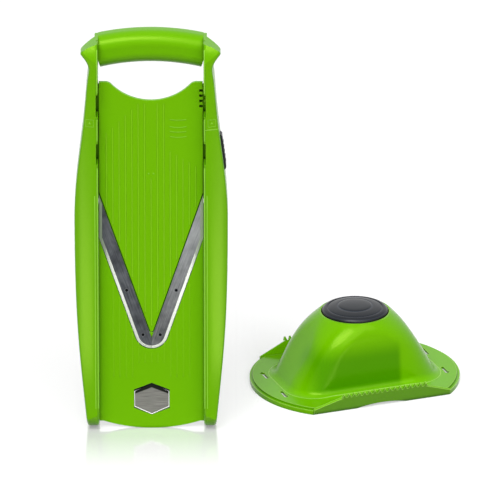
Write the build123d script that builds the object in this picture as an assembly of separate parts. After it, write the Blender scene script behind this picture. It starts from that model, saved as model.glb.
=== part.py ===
from build123d import *
import math
import os

# Mandoline slicer with its loose food holder. Millimetres, +Z up.
# The slicer stands upright on the lower ends of its rails, with its working face towards -Y.
# The food holder lies on the same floor, to the right of it and behind it.
# Each slicer piece is modelled about the slicer's centre line, with the deck's face at y = 0.

# ---------------------------------------------------------------- slicer frame
CHANNEL_WIDTH = 95.0        # between the two rails
FOOT_RAIL = 10.6            # rail width at its lower end
HIP_RAIL = 18.6             # rail width at the hip
HIP_HEIGHT = 88.0
BELLY_RAIL = 21.8           # rail width where the slicer is widest
BELLY_ABOVE_HIP = 117.0
SHOULDER_RAIL = 12.0        # rail width at the shoulder
SHOULDER_ABOVE_BELLY = 107.0
NECK_RAIL = 8.2             # rail width at the neck, under the ears
NECK_ABOVE_SHOULDER = 38.0
EAR_RAIL = 16.2             # from the channel to an ear's tip
EAR_ABOVE_NECK = 17.5
CROWN_ABOVE_EAR = 13.5      # ear tips to the top of the grip
RIDGE_RISE = 14.0           # rail ridges in front of the deck
RAIL_BACK = 18.0            # deck face to the rails' back edges
CROWN_FALL = 9.0            # how far a rail's face falls back across its width
RAIL_WALL = 2.6
CHANNEL_WALL = 4.6          # the rail wall that carries the guide groove
RAIL_EDGE_RADIUS = 2.6
FOOT_RADIUS = 4.6
NOSE_HEIGHT = 24.0          # height of the rounded lower nose
HOUSING_BELOW_NECK = 20.0   # upper end of the rails' hollow
NOSE_SOLE = 8.0             # front edge of the flat sole, behind the deck's face
GRIP_FRONT = 6.0            # grip's front crest, behind the insert's path
GRIP_DEPTH = 28.0
GRIP_HEIGHT = 29.8
GRIP_ARCH = 5.8             # rise of the arched grip at its middle
GRIP_WALL = 3.0
GRIP_RIBS = 5
EAR_RADIUS = 2.4            # rounding of an ear's tip
HEAD_LEAN = 0.5             # how fast the cut behind the ears comes forward as it rises
RIDGE_WIDTH = 1.7           # thin bead along each rail's inner edge
BEAD_STEP = 0.8

# ---------------------------------------------------------------- deck and blade seat
DECK_THICKNESS = 3.4
DECK_LIP = 7.0              # rise of the arched lower lip at its ends
LIP_WIDTH = 88.0
V_APEX_HEIGHT = 87.0        # where the insert's two slanted edges would meet
V_HALF_ANGLE = 18.6
EDGE_LAP = 0.3              # the blades' edges reach over the insert's edge, in front of it
APEX_CLEARANCE = 0.5        # seat to the insert's blunt tip
BLADE_WIDTH = 13.4
BLADE_THICKNESS = 1.0
BLADE_BEVEL = 2.8
BEVEL_DEPTH = 0.6
BLADE_TIP_RADIUS = 15.0
SEAT_CLEARANCE = 0.5
SEAT_DEPTH = 1.2
SEAT_EDGE = 3.0             # the blades' edges stand this far over their seat
EYELET_RADIUS = 1.8
EYELET_BORE = 0.9
EYELET_SHANK = 1.3
EYELET_HEAD = 0.2
EYELET_OFFSET = 6.0         # eyelets from the insert's edge, across the blade
EYELETS_ABOVE_APEX = (4.5, 48.0)
BADGE_WIDTH = 32.0
BADGE_HEIGHT = 31.0
BADGE_SIDE = 18.0
BADGE_CENTRE = 28.5
BADGE_THICKNESS = 0.8
BADGE_RECESS = 1.3
BADGE_RIM = 1.0

# ---------------------------------------------------------------- slide-in insert
INSERT_THICKNESS = 3.0
INSERT_SETBACK = 1.6        # insert's face behind the blades' plane
INSERT_SIDE_GAP = 0.8
INSERT_TIP = 4.6            # width of the blunt lower tip
INSERT_BELOW_NECK = 13.6
SCOOP_WIDTH = 75.0
SCOOP_DEPTH = 17.8
SCOOP_CORNER = 8.0
LUG_REACH = 1.4             # guide lugs into the grooves
LUG_THICKNESS = 1.4
LUG_DROPS = ((100.4, 78.4), (49.4, 35.4))   # each lug's lower and upper end, below the insert's top
LEDGE_REACH = 1.9           # ledges in the rails that the insert lies against
LEDGE_THICKNESS = 2.0
PAD_MARGIN = 1.0            # the pad behind the rack reaches this far past its gaps
INSERT_BEVEL = 1.3          # along the slanted edges, beside the blades
RIB_MARGIN = 0.5            # ribs end this far above the bevel
GROOVE_CLEARANCE = 0.3
RIB_PITCH = 5.76
RIB_WIDTH = 1.1
RIB_RISE = 0.35
RIB_PAIRS = 7
CENTRE_RIB_DROP = 93.4      # the middle rib starts lower than the rest, below the insert's top
SCALE_ROOM = 43.0           # height kept free of ribs for the scale
SCOOP_MARGIN = 3.0
RACK_TEETH = 4
RACK_PITCH = 5.0
RACK_DEPTH = 3.2
RACK_SLOT = 2.6
RACK_DROP = 6.9             # rack's upper end, below the insert's top
RACK_WINDOW = 21.5          # slot in the rail beside the rack
LOCK_WINDOW = (-8.5, 12.0)  # slot in the rail beside the lever, from the button's middle
SLOT_WIDTH = 2.0

# ---------------------------------------------------------------- lock in the right rail
NOSE_TOOTH = 2              # the lock's nose stands in the rack's third gap from above
PIVOT_BELOW_NOSE = 21.2
LOCK_BELOW_PIVOT = 26.5     # pin to the middle of the button
SPRING_BELOW_LOCK = 7.5
BUTTON_LENGTH = 34.5
BUTTON_PROUD = 1.9
BUTTON_DEPTH = 10.0
BUTTON_Y = 2.0
BUTTON_GAP = 0.5
BUTTON_BITE = 1.7           # how far the button's upper end stands inside the rail's outer edge
BUTTON_RADIUS = 3.0
LEVER_THICKNESS = 7.0
PIN_RADIUS = 1.5
PIVOT_CLEARANCE = 0.05
NOSE_CLEARANCE = 1.2        # nose to the insert's edge
TOOTH_CLEARANCE = 0.35

COVER_THICKNESS = 1.6
COVER_GAP = 0.3
LEVER_GAP = 0.3
BOSS_CLEARANCE = 0.3        # boss to the walls either side of it
LEVER_ARM = 1.7             # lever's thin upper arm
SPRING_TURNS = 4
SPRING_SIDES = 12           # straight runs in one turn of a spring
COVER_FIT = 0.15
SPRING_COIL = 2.2
SPRING_WIRE = 0.5

# ---------------------------------------------------------------- food holder
HOLDER_PLACE = (185.5, 116.0)   # its middle, from the slicer's centre line and deck face
HOLDER_TURN = 21.3              # degrees, anticlockwise from above
BRIM_RADIUS = 89.2
BRIM_SPREAD = 8.0               # the two arcs' centres stand this far either side of the middle
BRIM_DEPTH = 133.0
BRIM_TOP = 6.0
BRIM_THICKNESS = 2.2
RIM_TOP = 4.2                   # the rim stands on the floor, stepped down from the brim
RIM_STEP = 2.7
RIM_WIDTH = 3.6
COMB_HEIGHT = 18.7
COMB_LEAN = 26.0
COMB_WIDTH = 80.0
COMB_TEETH = 17
COMB_PITCH = 5.0
COMB_DEPTH = 3.6
COMB_THICKNESS = 2.2
ARCH_WIDTH = 48.0
ARCH_HEIGHT = 3.6
ARROW_ACROSS = 79.6
ARROW_ALONG = 24.4
ARROW_LENGTH = 16.0
ARROW_HEAD = 6.6
ARROW_STEM = 3.0
CROWN_SECTIONS = ((6.0, 72.0, 43.0, 26.0), (28.0, 60.0, 42.0, 26.0), (50.0, 47.0, 39.5, 27.0),
                  (61.0, 39.4, 37.0, 33.0), (67.5, 32.8, 32.8, 32.7))
CROWN_WALL = 2.4
CROWN_FOOT_RADIUS = 8.0
CROWN_COLLAR = 4.0              # the crown takes this much of the brim round its foot
WELL_RADIUS = 31.2
WELL_FLOOR = 52.5
GUIDE_RADIUS = 8.6
GUIDE_BOTTOM = 39.0
GUIDE_RIB = 2.0
GUIDE_LIFT = 0.3

# ---------------------------------------------------------------- plunger in the holder
PLUNGER_TRAVEL = 12.0
KNOB_RADIUS = 30.3
KNOB_EDGE = 3.6
KNOB_DOME = 5.0
KNOB_WALL = 2.4
KNOB_BOTTOM = 65.5
STEM_RADIUS = 6.0
STEM_CLEARANCE = 0.05
SOCKET_CLEARANCE = 0.05
PLATE_BOTTOM = 26.0
PLATE_THICKNESS = 3.0
PLATE_SIZE = (58.0, 50.0)
PIN_COUNT = 10
PIN_SIZE = 0.9
PIN_LENGTH = 11.0
PIN_RING = (22.0, 18.0)
CLIP_THICKNESS = 1.2
CLIP_WIDTH = 3.2
CLIP_GROOVE = 0.8
CLIP_GAP = 0.2
SCREW_RADIUS = 1.6
SCREW_HEAD = 3.4
SCREW_LENGTH = 9.0
RETURN_COIL = 11.5
RETURN_WIRE = 1.2
RETURN_TURNS = 5
SPRING_SLACK = 0.4

# ---------------------------------------------------------------- derived
HALF_CHANNEL = CHANNEL_WIDTH / 2
BELLY_HEIGHT = HIP_HEIGHT + BELLY_ABOVE_HIP
SHOULDER_HEIGHT = BELLY_HEIGHT + SHOULDER_ABOVE_BELLY
NECK_HEIGHT = SHOULDER_HEIGHT + NECK_ABOVE_SHOULDER
EAR_HEIGHT = NECK_HEIGHT + EAR_ABOVE_NECK
TOP_HEIGHT = EAR_HEIGHT + CROWN_ABOVE_EAR
BELLY_HALF = HALF_CHANNEL + BELLY_RAIL
INSERT_TOP = NECK_HEIGHT - INSERT_BELOW_NECK
RACK_TOP = INSERT_TOP - RACK_DROP
CATCH_HEIGHT = RACK_TOP - NOSE_TOOTH * RACK_PITCH - RACK_SLOT / 2
PIVOT_HEIGHT = CATCH_HEIGHT - PIVOT_BELOW_NOSE
LOCK_HEIGHT = PIVOT_HEIGHT - LOCK_BELOW_PIVOT
V_TAN = math.tan(math.radians(V_HALF_ANGLE))
V_SIN = math.sin(math.radians(V_HALF_ANGLE))
V_COS = math.cos(math.radians(V_HALF_ANGLE))


def slab(profile, y_front, y_back):
    """A front-view profile given its thickness, from y_front to y_back."""
    return extrude(Plane.XZ.offset(-y_back) * profile, y_back - y_front)


def closed(*edges):
    """The face inside a closed run of edges and polylines."""
    return make_face(Wire([edge for item in edges for edge in item.edges()]))


def both_sides(part):
    """A right-hand part and its mirror image."""
    return part + mirror(part, Plane.YZ)


def side_curves(grow=0.0):
    """The rail's outer edge from foot to belly and from belly to neck, moved outwards by grow."""
    edge = HALF_CHANNEL + grow
    foot = (edge + FOOT_RAIL, 0)
    hip = (edge + HIP_RAIL, HIP_HEIGHT)
    belly = (edge + BELLY_RAIL, BELLY_HEIGHT)
    shoulder = (edge + SHOULDER_RAIL, SHOULDER_HEIGHT)
    neck = (edge + NECK_RAIL, NECK_HEIGHT)
    lower = Spline(foot, hip, belly, tangents=[(0.09, 1), (0, 1)])
    upper = Spline(belly, shoulder, neck, tangents=[(0, 1), (-0.16, 1)])
    return foot, lower, upper, neck


def silhouette():
    """Right half of the frame's front outline: rounded foot, swelling rail, waisted neck, ear and arched top."""
    inner = (HALF_CHANNEL, 0)
    foot, lower, upper, neck = side_curves()
    ear = (HALF_CHANNEL + EAR_RAIL, EAR_HEIGHT)
    corner = (HALF_CHANNEL, TOP_HEIGHT - GRIP_ARCH * 0.96)
    top = (0, TOP_HEIGHT)
    outline = Sketch() + closed(
        Line(inner, foot),
        lower,
        upper,
        Spline(neck, ear, tangents=[(-0.16, 1), (0.9, 1)]),
        Spline(ear, corner, top, tangents=[(-0.8, 1), (-1, 0)]),
        Line(top, (0, DECK_LIP)),
        Line((0, DECK_LIP), (HALF_CHANNEL, DECK_LIP)),
        Line((HALF_CHANNEL, DECK_LIP), inner),
    )
    outline = fillet(near(outline.vertices(), inner, foot), FOOT_RADIUS)
    return fillet(near(outline.vertices(), ear), EAR_RADIUS)


def inside_rail(grow, start, low, high):
    """Front-view region from x = start out to the rail's outer edge moved by grow, between two heights."""
    foot, lower, upper, neck = side_curves(grow)
    region = closed(lower, upper, Polyline(neck, (0, NECK_HEIGHT), (0, 0), foot))
    return region & Pos(start + BELLY_HALF, (low + high) / 2) * Rectangle(2 * BELLY_HALF, high - low)


def near(vertices, *points):
    """The vertices that lie on the given (x, y) points."""
    return [v for v in vertices for p in points if abs(v.X - p[0]) + abs(v.Y - p[1]) < 0.01]


def side_profile():
    """Side view of the frame, y across and z up: rounded nose, straight rail and the bent-back head."""
    front = -RIDGE_RISE
    crest = (GRIP_FRONT + GRIP_DEPTH * 0.2, TOP_HEIGHT)
    back = GRIP_FRONT + GRIP_DEPTH
    slope = (GRIP_FRONT + GRIP_DEPTH * 0.75, TOP_HEIGHT - GRIP_HEIGHT * 0.25)
    grip_foot = TOP_HEIGHT - GRIP_HEIGHT
    return closed(
        Line((RAIL_BACK, 0), (NOSE_SOLE, 0)),
        Spline((NOSE_SOLE, 0), (front, NOSE_HEIGHT), tangents=[(-1, 0.2), (0, 1)]),
        Line((front, NOSE_HEIGHT), (front, NECK_HEIGHT)),
        Spline((front, NECK_HEIGHT), crest, tangents=[(0, 1), (1, 0)]),
        Spline(crest, slope, (back, TOP_HEIGHT - GRIP_HEIGHT / 2), tangents=[(1, 0), (0, -1)]),
        Line((back, TOP_HEIGHT - GRIP_HEIGHT / 2), (back, grip_foot)),
        Spline((back, grip_foot), (RAIL_BACK, SHOULDER_HEIGHT), tangents=[(-0.3, -1), (0, -1)]),
        Line((RAIL_BACK, SHOULDER_HEIGHT), (RAIL_BACK, 0)),
    )


def crown_profile(wall, inset):
    """Cross-section of a rail from above: channel wall, thin bead along the ridge and falling crown."""
    start = HALF_CHANNEL + wall
    ridge = -RIDGE_RISE + inset
    far = BELLY_HALF + 2 * RAIL_EDGE_RADIUS
    back = GRIP_FRONT + GRIP_DEPTH + RAIL_WALL
    step = ridge + BEAD_STEP
    bead = start + (RIDGE_WIDTH if wall == 0 else 0)
    reach = far - bead
    fall = CROWN_FALL * (reach / BELLY_RAIL) ** 2
    edges = [Line((start, back), (start, ridge))]
    if wall == 0:
        edges += [Line((start, ridge), (bead - 0.4, ridge)), Line((bead - 0.4, ridge), (bead, step))]
    else:
        edges += [Line((start, ridge), (bead, step))] if step != ridge else []
    edges += [
        ThreePointArc((bead, step), (bead + reach * 0.6, step + fall * 0.36), (far, step + fall)),
        Line((far, step + fall), (far, back)),
        Line((far, back), (start, back)),
    ]
    return closed(*edges)


def block(x0, x1, y0, y1, z0, z1):
    """A box between two corners."""
    size = (x1 - x0, y1 - y0, z1 - z0)
    return Pos((x0 + x1) / 2, (y0 + y1) / 2, (z0 + z1) / 2) * Box(*size)


def v_height(x, below):
    """Height at x of the V line that runs `below` millimetres under the insert's slanted edge."""
    return V_APEX_HEIGHT - below / V_SIN + abs(x) / V_TAN


def above_v(below, half_width, top, apex_radius=0):
    """Front-view region above a V line, as wide as half_width and no higher than top."""
    apex = (0, v_height(0, below))
    side = v_height(half_width, below)
    points = [apex, (half_width, side), (half_width, top), (-half_width, top), (-half_width, side)]
    region = Sketch() + make_face(Polyline(*points, close=True))
    if apex_radius:
        region = fillet(near(region.vertices(), apex), apex_radius)
    return region


def rail():
    """The right rail with its foot, arm and ear: a moulded shell, open behind up to the shoulder."""
    outline = silhouette()
    depth = GRIP_FRONT + GRIP_DEPTH
    solid = slab(outline, -RIDGE_RISE, depth)
    solid &= extrude(Plane.YZ * side_profile(), BELLY_HALF * 2)
    solid &= extrude(crown_profile(0, 0), TOP_HEIGHT)
    edges = [e for e in solid.edges() if e.geom_type != GeomType.LINE and on_outer_front(e)]
    solid = fillet(edges, RAIL_EDGE_RADIUS)
    solid -= behind_ear()
    return solid - rail_cavity()


def behind_ear():
    """The space behind an ear: a slanting prism, so that the rail's back runs up into the thin ear without a ledge."""
    ear = HALF_CHANNEL + EAR_RAIL
    inner = (HALF_CHANNEL + GRIP_WALL, RAIL_BACK + 2)
    far = 3 * GRIP_DEPTH
    plan = make_face(Polyline((ear + 1, 0), (ear + BELLY_RAIL, 0), (ear + BELLY_RAIL, far), (inner[0], far), inner,
                              close=True))
    drop = 2 * (RAIL_BACK + BELLY_RAIL)
    foot = Pos(0, HEAD_LEAN * drop, EAR_HEIGHT - drop) * plan
    return Solid.extrude(foot.faces()[0], Vector(0, -HEAD_LEAN, 1) * (2 * drop))


def on_outer_front(edge):
    """Whether an edge runs along the rail's outer front, from the foot up to the ear's tip."""
    points = [edge @ 0, edge @ 0.5, edge @ 1]
    outside = HALF_CHANNEL + NECK_RAIL - 1
    return all(p.X > outside and p.Y < -BEAD_STEP - 1 and p.Z < EAR_HEIGHT + 2 for p in points)


def rail_cavity():
    """The hollow behind a rail's face, from just above the foot to just under the neck."""
    region = inside_rail(-RAIL_WALL, HALF_CHANNEL + CHANNEL_WALL, NOSE_HEIGHT * 0.8, NECK_HEIGHT - HOUSING_BELOW_NECK)
    hollow = slab(region, -RIDGE_RISE, GRIP_FRONT + GRIP_DEPTH + RAIL_WALL)
    return hollow & extrude(crown_profile(CHANNEL_WALL, RAIL_WALL + BEAD_STEP), TOP_HEIGHT)


def grip():
    """The arched handle bar: a C-shaped shell, open behind, with cross ribs."""
    middle = TOP_HEIGHT - GRIP_HEIGHT / 2
    reach = HALF_CHANNEL + 1
    bow = Edge.make_three_point_arc((-reach, 0, middle - GRIP_ARCH), (0, 0, middle), (reach, 0, middle - GRIP_ARCH))
    centre = GRIP_FRONT + GRIP_DEPTH / 2
    start = bow @ 0
    plane = Plane(origin=(start.X, centre, start.Z), x_dir=(0, 1, 0), z_dir=bow % 0)
    path = Pos(0, centre, 0) * bow
    bar = sweep(plane * RectangleRounded(GRIP_DEPTH, GRIP_HEIGHT, GRIP_DEPTH * 0.42), path=path)
    opening = Rectangle(GRIP_DEPTH, GRIP_HEIGHT * 0.55)
    core = RectangleRounded(GRIP_DEPTH - 2 * GRIP_WALL, GRIP_HEIGHT - 2 * GRIP_WALL, GRIP_DEPTH * 0.42 - GRIP_WALL)
    hollow = sweep(plane * (core + Pos(GRIP_DEPTH / 2, 0) * opening), path=path)
    spacing = CHANNEL_WIDTH / (GRIP_RIBS + 1)
    for i in range(GRIP_RIBS):
        x = spacing * (i + 1) - HALF_CHANNEL
        hollow -= block(x - 1, x + 1, GRIP_FRONT, GRIP_FRONT + GRIP_DEPTH * 0.8, NECK_HEIGHT, TOP_HEIGHT)
    return bar - hollow


def deck():
    """The fixed lower deck: a ribbed plate with an arched lip, a V-shaped blade seat and the badge's pocket."""
    reach = HALF_CHANNEL + 1
    lip = LIP_WIDTH / 2
    seat_top = v_height(reach, SEAT_EDGE - EDGE_LAP)
    under_tip = v_height(INSERT_TIP / 2, 0) - APEX_CLEARANCE
    notch = (under_tip - v_height(0, SEAT_EDGE - EDGE_LAP)) * V_TAN
    outline = closed(
        ThreePointArc((-lip, DECK_LIP), (0, 0), (lip, DECK_LIP)),
        Polyline((lip, DECK_LIP), (reach, DECK_LIP), (reach, seat_top), (notch, under_tip), (-notch, under_tip),
                 (-reach, seat_top), (-reach, DECK_LIP), (-lip, DECK_LIP)),
    )
    plate = slab(outline, 0, DECK_THICKNESS)
    rib = DECK_THICKNESS + 4
    for x in (-LIP_WIDTH / 4, LIP_WIDTH / 4):
        plate += block(x - 1, x + 1, DECK_THICKNESS, rib, DECK_LIP, v_height(x, BLADE_WIDTH - EDGE_LAP + 2))
    plate += block(-reach, reach, DECK_THICKNESS, rib, DECK_LIP, DECK_LIP + 2)
    blade_outer = BLADE_WIDTH - EDGE_LAP + SEAT_CLEARANCE
    pocket = above_v(blade_outer, HALF_CHANNEL, BELLY_HEIGHT * 2, BLADE_TIP_RADIUS + SEAT_CLEARANCE)
    plate -= slab(pocket, -1, SEAT_DEPTH)
    plate -= slab(badge_outline(0.2), -1, BADGE_RECESS + BADGE_THICKNESS)
    for x, z in eyelet_places():
        plate -= Pos(x, 0, z) * Rot(90, 0, 0) * Cylinder(EYELET_SHANK, 4 * DECK_THICKNESS)
    return plate


def badge_outline(clearance):
    """An upright hexagon, pointed above and below."""
    half = BADGE_WIDTH / 2
    points = [(half, BADGE_SIDE / 2), (0, BADGE_HEIGHT / 2), (-half, BADGE_SIDE / 2)]
    points += [(-x, -y) for x, y in points]
    hexagon = Sketch() + Pos(0, BADGE_CENTRE) * make_face(Polyline(*points, close=True))
    return offset(hexagon, clearance, kind=Kind.INTERSECTION) if clearance else hexagon


def eyelet_places():
    """Centres of the four eyelets: two along each blade."""
    places = []
    for rise in EYELETS_ABOVE_APEX:
        x, z = rise * V_TAN + EYELET_OFFSET / V_COS, V_APEX_HEIGHT + rise
        places += [(x, z), (-x, z)]
    return places


def groove():
    """The guide groove cut into the right rail's channel wall, open at the arm's end."""
    wall = HALF_CHANNEL - 1
    back = INSERT_SETBACK + INSERT_THICKNESS
    low = INSERT_TOP - LUG_DROPS[0][0] - 2
    return block(wall, HALF_CHANNEL + LUG_REACH + GROOVE_CLEARANCE, back - LUG_THICKNESS - GROOVE_CLEARANCE,
                 back + GROOVE_CLEARANCE, low, TOP_HEIGHT + 1)


def guide_back():
    """The y of the rails' faces that the insert's back slides along."""
    return INSERT_SETBACK + INSERT_THICKNESS + GROOVE_CLEARANCE


def ledge(reach, low):
    """A ledge on the channel wall, behind the insert, from a height up to the insert's top."""
    return block(HALF_CHANNEL - reach, HALF_CHANNEL + 1, guide_back(), guide_back() + LEDGE_THICKNESS, low,
                 INSERT_TOP - SCOOP_MARGIN)


def guide_rail():
    """The right rail with the insert's groove and ledge, and two slots along its inner edge, closed behind."""
    made = rail() + ledge(LEDGE_REACH, v_height(HALF_CHANNEL - LEDGE_REACH, 0)) - groove()
    for low, high in ((LOCK_HEIGHT + LOCK_WINDOW[0], LOCK_HEIGHT + LOCK_WINDOW[1]), (RACK_TOP - RACK_WINDOW, RACK_TOP)):
        made -= block(HALF_CHANNEL - 1, HALF_CHANNEL + SLOT_WIDTH, -RIDGE_RISE - 1, guide_back(), low, high)
    return made


def rail_right():
    """The right rail, which also houses the lock."""
    boss_front = -RIDGE_RISE + BEAD_STEP + RAIL_WALL
    made = guide_rail() + ledge(INSERT_SIDE_GAP + RACK_DEPTH + PAD_MARGIN, RACK_TOP - RACK_WINDOW)
    made += Pos(pivot_x(), (boss_front - LEVER_GAP) / 2, PIVOT_HEIGHT) * Rot(90, 0, 0) * Cylinder(
        boss_radius(), -LEVER_GAP - boss_front)
    return made - pivot_pin() - nose_window() - button_window()


def rail_left():
    """The left rail, the mirror image without a lock."""
    return mirror(guide_rail(), Plane.YZ)


def between_rails(part):
    """The share of a part that lies between the rails' inner faces."""
    return part & block(-HALF_CHANNEL, HALF_CHANNEL, -RIDGE_RISE, GRIP_FRONT + GRIP_DEPTH, 0, TOP_HEIGHT)


def rail_edge(height):
    """The x of the rail's outer edge at a height."""
    foot, lower, upper, neck = side_curves()
    curve = upper if height > BELLY_HEIGHT else lower
    low, high = 0.0, 1.0
    while high - low > 1e-6:
        middle = (low + high) / 2
        low, high = (middle, high) if (curve @ middle).Y < height else (low, middle)
    return (curve @ low).X


def housing_walls():
    """The x of the two walls that the lock's pivot stands between."""
    return HALF_CHANNEL + CHANNEL_WALL, rail_edge(PIVOT_HEIGHT) - RAIL_WALL


def pivot_x():
    """The pivot stands in the middle of the rail's hollow."""
    return sum(housing_walls()) / 2


def boss_radius():
    """The pivot's boss leaves its clearance to the walls."""
    inner, outer = housing_walls()
    return (outer - inner) / 2 - BOSS_CLEARANCE


def lever_face():
    """The x of the lever's outer face, which carries the button."""
    return rail_edge(LOCK_HEIGHT + BUTTON_LENGTH / 2) - BUTTON_BITE


def nose_window():
    """The opening in the channel wall that the lock's nose reaches through."""
    half = RACK_PITCH
    return block(HALF_CHANNEL - 1, HALF_CHANNEL + CHANNEL_WALL + 1, -1, guide_back(), CATCH_HEIGHT - half,
                 CATCH_HEIGHT + half)


def button_window():
    """The opening in the rail's outer wall for the button."""
    half = BUTTON_LENGTH / 2 + BUTTON_GAP
    return block(pivot_x() + boss_radius(), 2 * BELLY_HALF, BUTTON_Y - BUTTON_DEPTH / 2 - BUTTON_GAP,
                 BUTTON_Y + BUTTON_DEPTH / 2 + BUTTON_GAP, LOCK_HEIGHT - half, LOCK_HEIGHT + half)


def pivot_pin():
    """The steel pin that the lock's lever turns on."""
    front = -RIDGE_RISE + BEAD_STEP + RAIL_WALL + 1
    back = LEVER_THICKNESS + COVER_GAP + COVER_THICKNESS
    return Pos(pivot_x(), (front + back) / 2, PIVOT_HEIGHT) * Rot(90, 0, 0) * Cylinder(PIN_RADIUS, back - front)


def blade(side):
    """One blade of the V: ground along its outer edge, sharpened along its inner edge, mitred at the seam."""
    half = HALF_CHANNEL - 0.3
    top = v_height(half, -EDGE_LAP)
    band = above_v(BLADE_WIDTH - EDGE_LAP, half, top, BLADE_TIP_RADIUS)
    band -= above_v(-EDGE_LAP, half + 1, top + 1)
    band &= Pos(half + 0.1, top / 2) * Rectangle(2 * half, 2 * top)
    front = SEAT_DEPTH - BLADE_THICKNESS
    plate = slab(band, front, SEAT_DEPTH)
    face = plate.faces().sort_by(Axis.Y)[0]
    outer = [e for e in face.edges() if ground_edge(e @ 0.5, half)]
    plate = chamfer(outer, BLADE_BEVEL, BEVEL_DEPTH, reference=face)
    for x, z in eyelet_places():
        plate -= Pos(x, 0, z) * Rot(90, 0, 0) * Cylinder(EYELET_SHANK, 4 * DECK_THICKNESS)
    return plate if side > 0 else mirror(plate, Plane.YZ)


def ground_edge(point, half):
    """Whether a point of the right blade's outline lies on its ground outer edge or on its end by the rail."""
    if point.X < 0.2:
        return False
    return point.X > half - 0.1 or point.Z < v_height(point.X, BLADE_WIDTH / 2 - EDGE_LAP)


def eyelets():
    """Four tubular rivets through blades and seat."""
    group = []
    front = SEAT_DEPTH - BLADE_THICKNESS
    for x, z in eyelet_places():
        turn = Pos(x, 0, z) * Rot(90, 0, 0)
        head = turn * Pos(0, 0, -front + EYELET_HEAD / 2) * Cylinder(EYELET_RADIUS, EYELET_HEAD)
        length = DECK_THICKNESS - front
        shank = turn * Pos(0, 0, -front - length / 2) * Cylinder(EYELET_SHANK, length)
        bore = turn * Pos(0, 0, -front - length / 2) * Cylinder(EYELET_BORE, 2 * length)
        group.append(head + shank - bore)
    return Compound(children=group)


def badge_plate():
    """A bare steel plate in its pocket."""
    return slab(badge_outline(0), BADGE_RECESS, BADGE_RECESS + BADGE_THICKNESS)


def slide_insert():
    """The slide-in plate: V-shaped foot, scooped head, fine ribs, a rack on its right edge and guide lugs."""
    half = HALF_CHANNEL - INSERT_SIDE_GAP
    top = INSERT_TOP
    tip = INSERT_TIP / 2
    scoop = SCOOP_WIDTH / 2
    outline = Sketch() + closed(
        Polyline((scoop, top), (half, top), (half, v_height(half, 0)), (tip, v_height(tip, 0)),
                 (-tip, v_height(tip, 0)), (-half, v_height(half, 0)), (-half, top), (-scoop, top)),
        ThreePointArc((-scoop, top), (0, top - SCOOP_DEPTH), (scoop, top)),
    )
    outline = fillet(near(outline.vertices(), (scoop, top), (-scoop, top)), SCOOP_CORNER)
    for i in range(RACK_TEETH):
        z = RACK_TOP - RACK_PITCH * i
        outline -= Pos(half - RACK_DEPTH / 2 + 0.5, z - RACK_SLOT / 2) * Rectangle(RACK_DEPTH + 1, RACK_SLOT)
    back = INSERT_SETBACK + INSERT_THICKNESS
    plate = slab(outline, INSERT_SETBACK, back)
    plate = chamfer([e for e in plate.edges() if along_blade(e)], INSERT_BEVEL)
    for low, high in LUG_DROPS:
        lug = block(half - 1, HALF_CHANNEL + LUG_REACH, back - LUG_THICKNESS, back, top - low, top - high)
        plate += both_sides(lug)
    for i in range(-RIB_PAIRS, RIB_PAIRS + 1):
        x = RIB_PITCH * i
        low = v_height(max(abs(x) + RIB_WIDTH, tip), -INSERT_BEVEL - RIB_MARGIN)
        high = rib_top(x, top) if i else top - CENTRE_RIB_DROP
        plate += block(x - RIB_WIDTH / 2, x + RIB_WIDTH / 2, INSERT_SETBACK - RIB_RISE, INSERT_SETBACK, low, high)
    return plate


def along_blade(edge):
    """Whether an edge of the insert is one of the two slanted ones in its face."""
    start, end = edge @ 0, edge @ 1
    rise, run = abs(end.Z - start.Z), abs(end.X - start.X)
    return max(start.Y, end.Y) < INSERT_SETBACK + 0.01 and run > INSERT_TIP and abs(run - rise * V_TAN) < 0.01


def rib_top(x, top):
    """Ribs start under the scoop, slant down to the left edge and stay below the scale on the right."""
    crest = top - SCOOP_DEPTH - SCOOP_MARGIN
    if abs(x) < 2.5 * RIB_PITCH:
        return crest
    if x < 0:
        return crest - (abs(x) - 2 * RIB_PITCH)
    return crest - SCALE_ROOM - (x - 2 * RIB_PITCH) * 0.6


def lock_lever():
    """The catch: a rocking lever on a pin, its lower arm behind the button and its nose beside the rack."""
    nose_tip = HALF_CHANNEL - INSERT_SIDE_GAP + NOSE_CLEARANCE
    arm = HALF_CHANNEL + CHANNEL_WALL + LEVER_GAP + 0.5
    pivot = pivot_x()
    button_back = lever_face()
    low = LOCK_HEIGHT - BUTTON_LENGTH / 2 + 3
    shoulder = LOCK_HEIGHT + BUTTON_LENGTH / 2 - 5
    outline = Sketch() + make_face(Polyline(
        (arm, CATCH_HEIGHT + 3), (arm, PIVOT_HEIGHT), (pivot, PIVOT_HEIGHT - 8), (button_back - 3, LOCK_HEIGHT),
        (button_back - 3, low), (button_back, low), (button_back, shoulder), (pivot + boss_radius() - LEVER_GAP, shoulder + 7),
        (arm + LEVER_ARM, CATCH_HEIGHT - 8), (arm + LEVER_ARM, CATCH_HEIGHT + 3), close=True))
    outline += Pos(pivot_x(), PIVOT_HEIGHT) * Circle(boss_radius())
    lever = slab(outline, 0, LEVER_THICKNESS)
    flat = RACK_SLOT / 2 - TOOTH_CLEARANCE
    nose = make_face(Polyline((arm + 1, CATCH_HEIGHT - 3), (nose_tip, CATCH_HEIGHT - flat), (nose_tip, CATCH_HEIGHT + flat),
                              (arm + 1, CATCH_HEIGHT + 3), close=True))
    lever += slab(nose, 0.2, INSERT_SETBACK + INSERT_THICKNESS - LUG_THICKNESS - 0.4)
    return lever - Pos(pivot_x(), 0, PIVOT_HEIGHT) * Rot(90, 0, 0) * Cylinder(
        PIN_RADIUS + PIVOT_CLEARANCE, 4 * LEVER_THICKNESS)


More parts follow.
